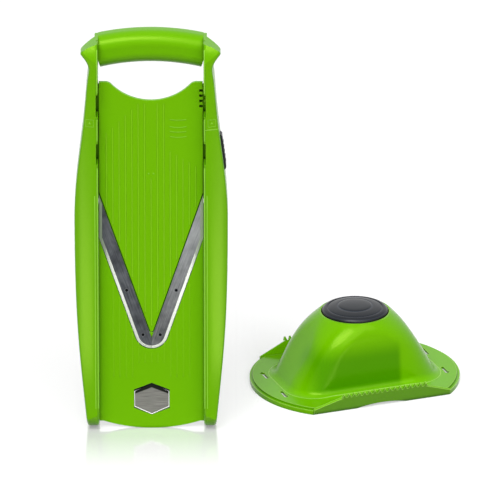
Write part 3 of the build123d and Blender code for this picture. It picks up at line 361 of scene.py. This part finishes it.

# ------------------------------------------------------------------ marks on the rails
# A small raised frame round a triangle stands high up on each rail beside the insert,
# with a short bar under the right one. All are moulded with the rails.
# the marks are painted paler than the plastic they stand on, as a painted highlight
marked_abs = moulded_plastic("marked_green_abs", "#7ec61c", "#7ac218", "#92d840", "#3c7a08",
                             roughness=0.3, peel=0.08, **GREEN_GLOSS)
MARK_OUT, MARK_HEIGHT, MARK_SIZE = 7.4 * MM, 302 * MM, 7.4 * MM
MARK_LINE, MARK_THICK, ARROW = 0.6 * MM, 0.4 * MM, 1.7 * MM
BAR_BELOW, BAR_DEPTH, BAR_ACROSS, BAR_RISE = 6.6 * MM, 0.7 * MM, 12 * MM, 0.22 * MM
for side, node in ((1, "rail_right"), (-1, "rail_left")):
    nothing_selected()
    centre = (MIDDLE + side * (HALF_CHANNEL + MARK_OUT), FACE - STAND_OFF, MARK_HEIGHT)
    bpy.ops.mesh.primitive_plane_add(size=MARK_SIZE, location=centre, rotation=UPRIGHT)
    piece = bpy.context.object
    bpy.ops.object.transform_apply(location=True, rotation=True, scale=True)
    bpy.ops.object.mode_set(mode="EDIT")
    bpy.ops.mesh.select_all(action="SELECT")
    bpy.ops.mesh.inset(thickness=MARK_LINE)
    bpy.ops.mesh.delete(type="FACE")
    bpy.ops.mesh.select_all(action="SELECT")
    bpy.ops.mesh.subdivide(number_cuts=3)
    bpy.ops.mesh.select_all(action="DESELECT")
    bpy.ops.mesh.primitive_circle_add(vertices=3, radius=ARROW, fill_type="NGON", location=centre,
                                      rotation=UPRIGHT)
    bpy.ops.object.mode_set(mode="OBJECT")
    lay_on(piece, node)
    apply_modifier(piece, "SOLIDIFY", thickness=MARK_THICK, offset=0)
    done(f"{node}_mark", "frame", marked_abs)

bar_x, bar_low = MIDDLE + HALF_CHANNEL + MARK_OUT, MARK_HEIGHT - BAR_BELOW
strip_on("rail_right", bar_x, bar_low, bar_low + BAR_DEPTH, BAR_ACROSS, BAR_RISE, across=6)
done("rail_right_bar", "frame", painted_highlight_abs)

# ------------------------------------------------------------------ deck ribs
# Low ribs run down the deck below the blades, so that wet food slides on them.
# They are moulded with the deck at the insert's pitch, and stop short of the badge and the V.
# Their upper ends climb a little less steeply than the V.
RIB_PITCH, RIB_WIDTH, RIB_RISE, RIB_FOOT = 5.76 * MM, 1.1 * MM, 0.12 * MM, 50 * MM
BADGE_CLEAR, V_CLEAR, V_FLAT, CLIMB = 14 * MM, 4 * MM, 6 * MM, 0.8
V_TAN = math.tan(math.radians(18.6))
# the ribs are painted a shade paler than the deck, as a painted highlight
rib_abs_painted_highlight = moulded_plastic("rib_green_abs_painted_highlight", "#75bd08", "#71b706", "#78c00c", "#62a806",
                           roughness=0.3, peel=0.08, **GREEN_GLOSS)
blade_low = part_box("blade_right")[0]
for i in range(-6, 7):
    x = RIB_PITCH * i
    low = RIB_FOOT + (BADGE_CLEAR if abs(i) < 3 else 0)
    high = blade_low.z - V_CLEAR + max(0, abs(x) - V_FLAT) / V_TAN * CLIMB
    strip_on("deck_plate", MIDDLE + x, low, high, RIB_WIDTH, RIB_RISE, BEAD_CUTS)
    done(f"deck_rib_{i + 7:02d}", "frame", rib_abs_painted_highlight)

# ------------------------------------------------------------------ slide-in insert
# The insert is a separate moulding in the same plastic, painted a shade lighter than the rails as painted
# light, with a painted highlight along the tops of its fine ribs.
# Four short curved bars and two dots are moulded on it and show the slice heights.
insert_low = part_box("slide_insert")[0]
ribbed_abs = moulded_plastic("ribbed_green_abs", "#72bb00", "#6db500", "#96da28", "#063c00",
                             roughness=0.28, peel=0.10, proud=insert_low.y + 0.25 * MM, painted_top_highlight=0.4,
                             **GREEN_GLOSS)
finish(cad["slide_insert"], ribbed_abs)
SCALE_MIDDLE, SCALE_RISE = 24.5 * MM, 0.25 * MM
SCALE_HEIGHTS = (300 * MM, 293 * MM, 288.5 * MM, 283.5 * MM)
BAR_LENGTH, BAR_WIDTH, BAR_CURVE = 15 * MM, 0.8 * MM, 34 * MM
for i, height in enumerate(SCALE_HEIGHTS):
    nothing_selected()
    centre = Vector((MIDDLE + SCALE_MIDDLE, FACE - STAND_OFF, height + BAR_CURVE))
    bpy.ops.mesh.primitive_circle_add(vertices=180, radius=BAR_CURVE, location=centre, rotation=UPRIGHT)
    piece = bpy.context.object
    bpy.ops.object.transform_apply(location=True, rotation=True, scale=True)
    bpy.ops.object.mode_set(mode="EDIT")
    bpy.ops.mesh.select_all(action="SELECT")
    bpy.ops.mesh.extrude_edges_move()
    wider = (BAR_CURVE + BAR_WIDTH) / BAR_CURVE
    bpy.ops.transform.resize(value=(wider, 1, wider), center_override=centre)
    for side in (1, -1):
        bpy.ops.mesh.select_all(action="SELECT")
        end = centre.x + side * BAR_LENGTH / 2
        bpy.ops.mesh.bisect(plane_co=(end, 0, 0), plane_no=(side, 0, 0), clear_outer=True)
    bpy.ops.mesh.select_all(action="SELECT")
    bpy.ops.mesh.bisect(plane_co=centre, plane_no=(0, 0, 1), clear_outer=True)
    bpy.ops.mesh.select_all(action="SELECT")
    bpy.ops.mesh.normals_make_consistent(inside=False)
    bpy.ops.object.mode_set(mode="OBJECT")
    lay_on(piece, "slide_insert")
    apply_modifier(piece, "SOLIDIFY", thickness=2 * SCALE_RISE, offset=0)
    done(f"scale_bar_{i + 1}", "insert", marked_abs)


def copy_to(pattern, spot):
    """A copy of a pattern piece, with a mesh of its own, set at its spot."""
    nothing_selected()
    pattern.select_set(True)
    bpy.context.view_layer.objects.active = pattern
    bpy.ops.object.duplicate(linked=False)
    bpy.context.object.location = spot


# a dot is a low button with its rim rounded right over
DOT, DOT_RISE, DOT_PITCH, DOT_HEIGHT = 0.8 * MM, 0.4 * MM, 4.4 * MM, 248 * MM
nothing_selected()
bpy.ops.mesh.primitive_circle_add(vertices=20, radius=DOT, fill_type="NGON", rotation=UPRIGHT)
dot = bpy.context.object
bpy.ops.object.transform_apply(location=False, rotation=True, scale=True)
bpy.ops.object.mode_set(mode="EDIT")
bpy.ops.mesh.select_all(action="SELECT")
bpy.ops.mesh.extrude_region_move(TRANSFORM_OT_translate={"value": (0, -DOT_RISE, 0)})
bpy.ops.mesh.bevel(offset=DOT_RISE * 0.8, segments=4, affect="EDGES")
bpy.ops.mesh.select_all(action="SELECT")
bpy.ops.mesh.normals_make_consistent(inside=False)
bpy.ops.object.mode_set(mode="OBJECT")
for i, side in enumerate((-1, 1)):
    start = Vector((MIDDLE + side * DOT_PITCH / 2, FACE - STAND_OFF, DOT_HEIGHT))
    copy_to(dot, cad["slide_insert"].ray_cast(start, Vector((0, 1, 0)))[1])
    done(f"insert_dot_{i + 1}", "insert", marked_abs)
bpy.data.objects.remove(dot)

# ------------------------------------------------------------------ blades
# Two strips of stainless steel form the V. Fine grinding marks run along each of them,
# and their outer edges are polished to a bright bevel. As painted reflection, the left one is painted
# darker than the right one, and the right one grows lighter towards its upper end.
# heights over which the right blade's painted reflection grows lighter
LIGHTER_FROM, LIGHTEST_FROM = 105 * MM, 190 * MM


def ground_steel(name, dark, light, bevel, roughness, turn, upper=None):
    """Ground stainless steel: marks along the blade, which lies turned in the XZ plane, and bright slopes."""
    made, tree = new_material(name)
    here = add(tree, "ShaderNodeTexCoord").outputs["Object"]
    level = add(tree, "ShaderNodeMapping", {"Rotation": (0, turn, 0)}, {"Vector": here})
    along = add(tree, "ShaderNodeMapping", {"Scale": (1, 1, 0.03)}, {"Vector": level.outputs["Vector"]})
    # real marks are too fine to show, so they are drawn 0.5 mm wide and about 17 mm long
    marks = add(tree, "ShaderNodeTexNoise", {"Scale": 2000, "Detail": 4.0},
                {"Vector": along.outputs["Vector"]})
    cloud = add(tree, "ShaderNodeTexNoise", {"Scale": 90, "Detail": 2.0}, {"Vector": here})
    both = add(tree, "ShaderNodeMath", operation="MULTIPLY",
               links={0: marks.outputs["Fac"], 1: cloud.outputs["Fac"]})
    ramp = add(tree, "ShaderNodeValToRGB", links={"Fac": both.outputs[0]})
    ramp.color_ramp.elements[0].position, ramp.color_ramp.elements[0].color = 0.12, linear(dark)
    ramp.color_ramp.elements[1].position, ramp.color_ramp.elements[1].color = 0.38, linear(light)
    face = ramp.outputs["Color"]
    # painted reflection: the blade is made lighter towards its upper end
    if upper is not None:
        apart = add(tree, "ShaderNodeSeparateXYZ", links={"Vector": here})
        climb = add(tree, "ShaderNodeMapRange", {"From Min": LIGHTER_FROM, "From Max": LIGHTEST_FROM},
                    {"Value": apart.outputs["Z"]})
        face = blended(tree, climb.outputs["Result"], face, upper, how="ADD")
    faces = add(tree, "ShaderNodeNewGeometry")
    front = add(tree, "ShaderNodeVectorMath", {1: (0, -1, 0)}, {0: faces.outputs["Normal"]},
                operation="DOT_PRODUCT")
    slope = add(tree, "ShaderNodeMapRange", {"From Min": 0.995, "From Max": 0.985},
                {"Value": front.outputs["Value"]})
    tone = blended(tree, slope.outputs["Result"], face, bevel)
    # painted shade: the steel is darker where it lies against a wall
    wall = add(tree, "ShaderNodeAmbientOcclusion", {"Distance": 1.3 * MM}, samples=8)
    painted_wall_shade = add(tree, "ShaderNodeMapRange", {"From Min": 0.85, "From Max": 0.45, "To Max": 0.85},
                {"Value": wall.outputs["AO"]})
    edged = blended(tree, painted_wall_shade.outputs["Result"], tone, "#1c1f1b")
    rough = add(tree, "ShaderNodeMapRange", {"To Min": roughness * 0.7, "To Max": roughness * 1.3},
                {"Value": marks.outputs["Fac"]})
    # the bevel is ground more coarsely than the face
    coarse = add(tree, "ShaderNodeMath", {1: 0.16}, {0: slope.outputs["Result"], 2: rough.outputs["Result"]},
                 operation="MULTIPLY_ADD")
    bump = add(tree, "ShaderNodeBump", {"Strength": 0.2, "Distance": 0.05 * MM},
               {"Height": marks.outputs["Fac"]})
    skin = add(tree, "ShaderNodeBsdfPrincipled", {"Metallic": 1.0},
               {"Base Color": edged, "Roughness": coarse.outputs[0], "Normal": bump.outputs["Normal"]})
    add(tree, "ShaderNodeOutputMaterial", links={"Surface": skin.outputs[0]})
    return made


V_ANGLE = math.atan(V_TAN)
# painted reflection: the left blade's tones are darker than the right one's
left_steel = ground_steel("blade_steel_left", "#3c3e42", "#63666a", "#b4b6b0", 0.32, V_ANGLE)
right_steel = ground_steel("blade_steel_right", "#4e5052", "#828384", "#c8cac4", 0.32, -V_ANGLE,
                           upper="#707272")
finish(cad["blade_left"], left_steel)
finish(cad["blade_right"], right_steel)

# ------------------------------------------------------------------ blade rivets
# Four tubular rivets hold the blades. Their rims are ground flush and dull,
# and a black disc of painted shade lies in the bore of each.
dull_steel = ground_steel("dull_rivet_steel", "#6b6d70", "#8d8f92", "#8d8f92", 0.4, 0)
finish(cad["blade_eyelets"], dull_steel)
# painted shade: the discs in the bores are near black, for the dark holes
painted_bore_shade = ground_steel("painted_bore_shade_steel", "#08090a", "#101214", "#161819", 0.5, 0)
PLUG, PLUG_DEPTH, PLUG_ROUND, PLUG_OUT, HEAD = 1.4 * MM, 0.5 * MM, 0.2 * MM, 0.1 * MM, 1.8 * MM
rivet_low, rivet_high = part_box("blade_eyelets")
upper_z, lower_z = rivet_high.z - HEAD, rivet_low.z + HEAD
upper_x = rivet_high.x - HEAD - MIDDLE
lower_x = upper_x - (upper_z - lower_z) * V_TAN
nothing_selected()
bpy.ops.mesh.primitive_cylinder_add(vertices=32, radius=PLUG, depth=PLUG_DEPTH, rotation=UPRIGHT)
shade_disc = bpy.context.object
bpy.ops.object.transform_apply(location=False, rotation=True, scale=True)
apply_modifier(shade_disc, "BEVEL", width=PLUG_ROUND, segments=3, limit_method="ANGLE")
upper, lower = (upper_x, upper_z), (lower_x, lower_z)
for i, (side, (x, z)) in enumerate(((1, upper), (-1, upper), (1, lower), (-1, lower))):
    copy_to(shade_disc, (MIDDLE + side * x, FACE - PLUG_OUT, z))
    done(f"rivet_bore_shade_{i + 1}", "frame", painted_bore_shade)
bpy.data.objects.remove(shade_disc)

# ------------------------------------------------------------------ badge
# A bare hexagonal plate of brushed steel lies in a pocket of the deck, with a bright pressed rim round it.
# The dark bands along the upper edges of both are painted shade and reflection of the pocket that overhangs
# them.
ROOF_SLOPE = math.radians(22.1)
badge_low, badge_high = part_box("badge_plate")
badge_middle = (badge_low + badge_high) / 2


def painted_roof_shade(tree, tone, start, full, code):
    """Darkens a tone with painted shade along the plate's two upper edges, by how far it is from the middle
    square to them.
    """
    here = add(tree, "ShaderNodeTexCoord").outputs["Object"]
    about = add(tree, "ShaderNodeMapping", {"Location": -badge_middle}, {"Vector": here})
    apart = add(tree, "ShaderNodeSeparateXYZ", links={"Vector": about.outputs["Vector"]})
    side = add(tree, "ShaderNodeMath", links={0: apart.outputs["X"]}, operation="ABSOLUTE")
    lean = add(tree, "ShaderNodeMath", {1: math.sin(ROOF_SLOPE)}, {0: side.outputs[0]}, operation="MULTIPLY")
    height = add(tree, "ShaderNodeMath", {1: math.cos(ROOF_SLOPE)},
                 {0: apart.outputs["Z"], 2: lean.outputs[0]}, operation="MULTIPLY_ADD")
    shade = add(tree, "ShaderNodeMapRange", {"From Min": start, "From Max": full},
                {"Value": height.outputs[0]})
    return blended(tree, shade.outputs["Result"], tone, code)


brushed, tree = new_material("brushed_plate_steel")
here = add(tree, "ShaderNodeTexCoord").outputs["Object"]
# the brushed lines run across the plate and are drawn 0.45 mm wide, so that they show
across = add(tree, "ShaderNodeMapping", {"Scale": (0.03, 1, 1)}, {"Vector": here})
lines = add(tree, "ShaderNodeTexNoise", {"Scale": 2200, "Detail": 4.0}, {"Vector": across.outputs["Vector"]})
ramp = add(tree, "ShaderNodeValToRGB", links={"Fac": lines.outputs["Fac"]})
ramp.color_ramp.elements[0].position, ramp.color_ramp.elements[0].color = 0.3, linear("#64635f")
ramp.color_ramp.elements[1].position, ramp.color_ramp.elements[1].color = 0.7, linear("#918f8b")
# painted shade darkens the plate along its upper edges
tone = painted_roof_shade(tree, ramp.outputs["Color"], 9.6 * MM, 10.2 * MM, "#20221f")
bump = add(tree, "ShaderNodeBump", {"Strength": 0.2, "Distance": 0.05 * MM}, {"Height": lines.outputs["Fac"]})
skin = add(tree, "ShaderNodeBsdfPrincipled", {"Metallic": 1.0, "Roughness": 0.34},
           {"Base Color": tone, "Normal": bump.outputs["Normal"]})
add(tree, "ShaderNodeOutputMaterial", links={"Surface": skin.outputs[0]})
finish(cad["badge_plate"], brushed)

# the rim is a regular hexagon, drawn out to the plate's width and height
RIM, RIM_RISE, RIM_ROUND = 0.75 * MM, 0.5 * MM, 0.18 * MM
polished = ground_steel("polished_rim_steel", "#e4e4e2", "#f4f4f2", "#f6f6f4", 0.2, 0)
tree = polished.node_tree
skin = next(node for node in tree.nodes if node.type == "BSDF_PRINCIPLED")
bare = skin.inputs["Base Color"].links[0].from_socket
# painted shade darkens the rim along its upper edges
tree.links.new(painted_roof_shade(tree, bare, 12.6 * MM, 13.0 * MM, "#16181a"), skin.inputs["Base Color"])
nothing_selected()
bpy.ops.mesh.primitive_circle_add(vertices=6, radius=0.5, fill_type="NGON", rotation=UPRIGHT,
                                  location=(badge_middle.x, badge_low.y - RIM_RISE, badge_middle.z))
rim = bpy.context.object
badge_size = badge_high - badge_low
bpy.ops.transform.resize(value=(badge_size.x / rim.dimensions.x, 1, badge_size.z / rim.dimensions.y))
bpy.ops.object.transform_apply(location=True, rotation=True, scale=True)
bpy.ops.object.mode_set(mode="EDIT")
bpy.ops.mesh.select_all(action="SELECT")
bpy.ops.mesh.inset(thickness=RIM)
bpy.ops.mesh.delete(type="FACE")
bpy.ops.mesh.select_all(action="SELECT")
bpy.ops.mesh.normals_make_consistent(inside=False)
bpy.ops.object.mode_set(mode="OBJECT")
apply_modifier(rim, "SOLIDIFY", thickness=RIM_RISE, offset=0)
apply_modifier(rim, "BEVEL", width=RIM_ROUND, segments=3, limit_method="ANGLE")
done("badge_rim", "frame", polished)

# ------------------------------------------------------------------ springs
# Two compression springs, each wound from one round wire: one lifts the knob, one holds the lock shut.
# The pins, the clip and the screw are of the same bright steel.
bright = ground_steel("bright_spring_steel", "#b8b8ba", "#d4d4d6", "#c8c8ca", 0.22, 0)
for name in ("lock_pin", "stem_clip", "food_pins", "stem_screw"):
    finish(cad[name], bright)


def wound_spring(name, node, body, along, wire, turns, anchor):
    """A helix of round wire that fills a CAD spring's box, along one axis of it, and stands for that spring.

    The end of the box that anchor picks is found, but nothing uses it.
    """
    low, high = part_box(node)
    middle, size = (low + high) / 2, high - low
    length = size[along]
    radius = size[(along + 1) % 3] / 2 - wire / 2
    nothing_selected()
    bpy.ops.mesh.primitive_circle_add(vertices=12, radius=wire / 2, location=(radius, 0, 0), rotation=UPRIGHT)
    piece = bpy.context.object
    bpy.ops.object.transform_apply(location=True, rotation=True, scale=True)
    apply_modifier(piece, "SCREW", axis="Z", angle=2 * math.pi, screw_offset=(length - wire) / turns,
                   iterations=turns, steps=36, render_steps=36)
    bpy.ops.object.mode_set(mode="EDIT")
    bpy.ops.mesh.select_all(action="SELECT")
    bpy.ops.transform.translate(value=(0, 0, -(length - wire) / 2))
    bpy.ops.mesh.fill_holes(sides=0)
    bpy.ops.mesh.normals_make_consistent(inside=False)
    bpy.ops.object.mode_set(mode="OBJECT")
    piece.rotation_euler = (0, math.pi / 2, 0) if along == 0 else (0, 0, 0)
    piece.location = middle
    done(name, body, bright, smooth=60)
    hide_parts(node)
    axis = Vector((0, 0, 0))
    axis[along] = 1
    held = middle.copy()
    held[along] = anchor(low, high)[along]
    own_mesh(piece)


wound_spring("knob_spring", "return_spring", "holder", along=2, wire=1.2 * MM, turns=5,
             anchor=lambda low, high: low)
wound_spring("catch_spring", "lock_spring", "lock", along=0, wire=0.5 * MM, turns=4,
             anchor=lambda low, high: high)

# ------------------------------------------------------------------ lock and plunger
# The lock's lever is moulded in the slicer's green, and its button in black.
# The knob, its stem and the plate that carries the pins are mouldings in the same black.
# Their faces are less polished, so that highlights on them are soft.
black_abs = moulded_plastic("black_abs", "#14171b", "#101317", "#2c3138", "#060708",
                            roughness=0.36, peel=0.12, gloss_level=0.3)
finish(cad["lock_lever"], green_abs)
for name in ("knob", "lock_button", "plunger_stem", "pin_plate"):
    finish(cad[name], black_abs)

# ------------------------------------------------------------------ food holder
# The holder is a thin moulding in the same green, polished more than the slicer, with a painted highlight on
# its edges.
# Its crown's wall is darker in front of the pusher, in a patch of painted shade.
glossy_green = moulded_plastic("glossy_green_abs", "#6fb600", "#69af00", "#b4e26a", "#124e04",
                               roughness=0.19, peel=0.04, gloss_level=0.26, gloss_tint="#e4ff70", painted_highlight_amount=0.8)
finish(cad["holder_brim"], glossy_green)

# the patch of painted shade fades in from nothing to full along each of the holder's own axes, in mm from its
# middle
HOLDER_TURN = math.radians(21.3)
PATCH_DEPTH = 0.72
PUSHER_FADES = (("X", -68, -46), ("X", 31, 25), ("Z", 54, 34), ("Z", 5, 13), ("Y", 2, -18))
crown_low, crown_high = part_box("holder_crown")
crown_middle = (crown_low + crown_high) / 2
crown_green_painted_shade = glossy_green.copy()
crown_green_painted_shade.name = "glossy_green_abs_painted_shade"
tree = crown_green_painted_shade.node_tree
skin = next(node for node in tree.nodes if node.type == "BSDF_PRINCIPLED")
tone = skin.inputs["Base Color"].links[0].from_socket
here = add(tree, "ShaderNodeTexCoord").outputs["Object"]
about = add(tree, "ShaderNodeMapping", {"Location": (-crown_middle.x, -crown_middle.y, 0)},
            {"Vector": here})
level = add(tree, "ShaderNodeMapping", {"Rotation": (0, 0, -HOLDER_TURN)},
            {"Vector": about.outputs["Vector"]})
apart = add(tree, "ShaderNodeSeparateXYZ", links={"Vector": level.outputs["Vector"]})
shadow = add(tree, "ShaderNodeValue").outputs[0]
shadow.default_value = PATCH_DEPTH
for axis, edge, inner in PUSHER_FADES:
    fade = add(tree, "ShaderNodeMapRange", {"From Min": edge * MM, "From Max": inner * MM},
               {"Value": apart.outputs[axis]}, interpolation_type="SMOOTHSTEP")
    both = add(tree, "ShaderNodeMath", links={0: shadow, 1: fade.outputs["Result"]}, operation="MULTIPLY")
    shadow = both.outputs[0]
tree.links.new(blended(tree, shadow, tone, "#3a8400"), skin.inputs["Base Color"])
finish(cad["holder_crown"], crown_green_painted_shade)

# ------------------------------------------------------------------ button ridges
# Five low ridges across the black release button give the thumb a hold.
# They are moulded with the button, so each follows the slope of its face.
button_low, button_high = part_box("lock_button")
button_middle = (button_low + button_high) / 2
RIDGES, RIDGE_PITCH, RIDGE_WIDTH, RIDGE_DEPTH, RIDGE_ROUND = 5, 4.5 * MM, 1.2 * MM, 0.9 * MM, 0.4 * MM
ridge_length = (button_high.y - button_low.y) * 0.6
nothing_selected()
bpy.ops.mesh.primitive_cube_add(size=1, location=button_middle)
ridge = bpy.context.object
bpy.ops.transform.resize(value=(RIDGE_DEPTH, ridge_length, RIDGE_WIDTH))
bpy.ops.object.transform_apply(location=False, rotation=True, scale=True)
bpy.ops.object.mode_set(mode="EDIT")
bpy.ops.mesh.select_all(action="SELECT")
bpy.ops.mesh.bevel(offset=RIDGE_ROUND, segments=3, affect="EDGES")
bpy.ops.object.mode_set(mode="OBJECT")
for i in range(RIDGES):
    height = button_middle.z + (i - (RIDGES - 1) / 2) * RIDGE_PITCH
    start = Vector((button_high.x + STAND_OFF, button_middle.y, height))
    copy_to(ridge, cad["lock_button"].ray_cast(start, Vector((-1, 0, 0)))[1])
    done(f"button_ridge_{i + 1}", "lock", black_abs)
bpy.data.objects.remove(ridge)

# ------------------------------------------------------------------ knob face
# A thin cap of satin black ABS snaps over the knob.
# It has a raised ring at its edge, a fine groove inside that and a plain round plate in the middle.


def lathe(profile, centre, segments=96):
    """Turns a profile of (radius, height) pairs about the upright axis, and fills its first and last ring."""
    nothing_selected()
    x, y = centre[0], centre[1]
    radius, height = profile[0]
    bpy.ops.mesh.primitive_circle_add(vertices=segments, radius=radius, location=(x, y, height))
    bpy.ops.object.transform_apply(location=True, rotation=True, scale=True)
    bpy.ops.object.mode_set(mode="EDIT")
    bpy.ops.mesh.select_all(action="SELECT")
    for wide, high in profile[1:]:
        bpy.ops.mesh.extrude_edges_move(TRANSFORM_OT_translate={"value": (0, 0, high - height)})
        bpy.ops.transform.resize(value=(wide / radius, wide / radius, 1), center_override=(x, y, high))
        radius, height = wide, high
    bpy.ops.mesh.select_all(action="SELECT")
    bpy.ops.mesh.fill_holes(sides=0)
    bpy.ops.mesh.remove_doubles(threshold=1e-6)
    bpy.ops.mesh.normals_make_consistent(inside=False)
    bpy.ops.object.mode_set(mode="OBJECT")


knob_low, knob_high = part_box("knob")
knob_middle = (knob_low + knob_high) / 2
KNOB_RADIUS = (knob_high.x - knob_low.x) / 2
DOME = 5.0 * MM
# each pair is a radius and a rise over the knob's dome, in mm: first outwards along the underside,
# then inwards over the ring, the groove with its shoulder, and the plate
UNDERSIDE = ((2.5, -0.4), (8, -0.4), (14, -0.4), (20, -0.4), (25, -0.4), (29, -0.4))
OUTER_RING = ((29.7, -0.1), (29.2, 0.35), (28.4, 0.75), (27.4, 0.95), (26.3, 0.95), (25.6, 0.7), (25.2, 0.15))
SHOULDER = ((24.7, 0.12), (24.3, 0.4), (23.4, 0.5), (21.0, 0.5), (18.6, 0.42), (16.6, 0.3), (15.9, 0.08))
PLATE = ((15.4, 0.08), (14.9, 0.45), (13.8, 0.62), (10.0, 0.5), (6.0, 0.42), (2.5, 0.4))
cap = []
for radius, rise in UNDERSIDE + OUTER_RING + SHOULDER + PLATE:
    cap.append((radius * MM, knob_high.z - DOME * (radius * MM / KNOB_RADIUS) ** 2 + rise * MM))
satin_black = moulded_plastic("satin_black_abs", "#171c23", "#13171d", "#3a4350", "#060709",
                              roughness=0.30, peel=0.08, gloss_level=0.28)
lathe(cap, knob_middle)
done("knob_face", "plunger", satin_black, smooth=50)
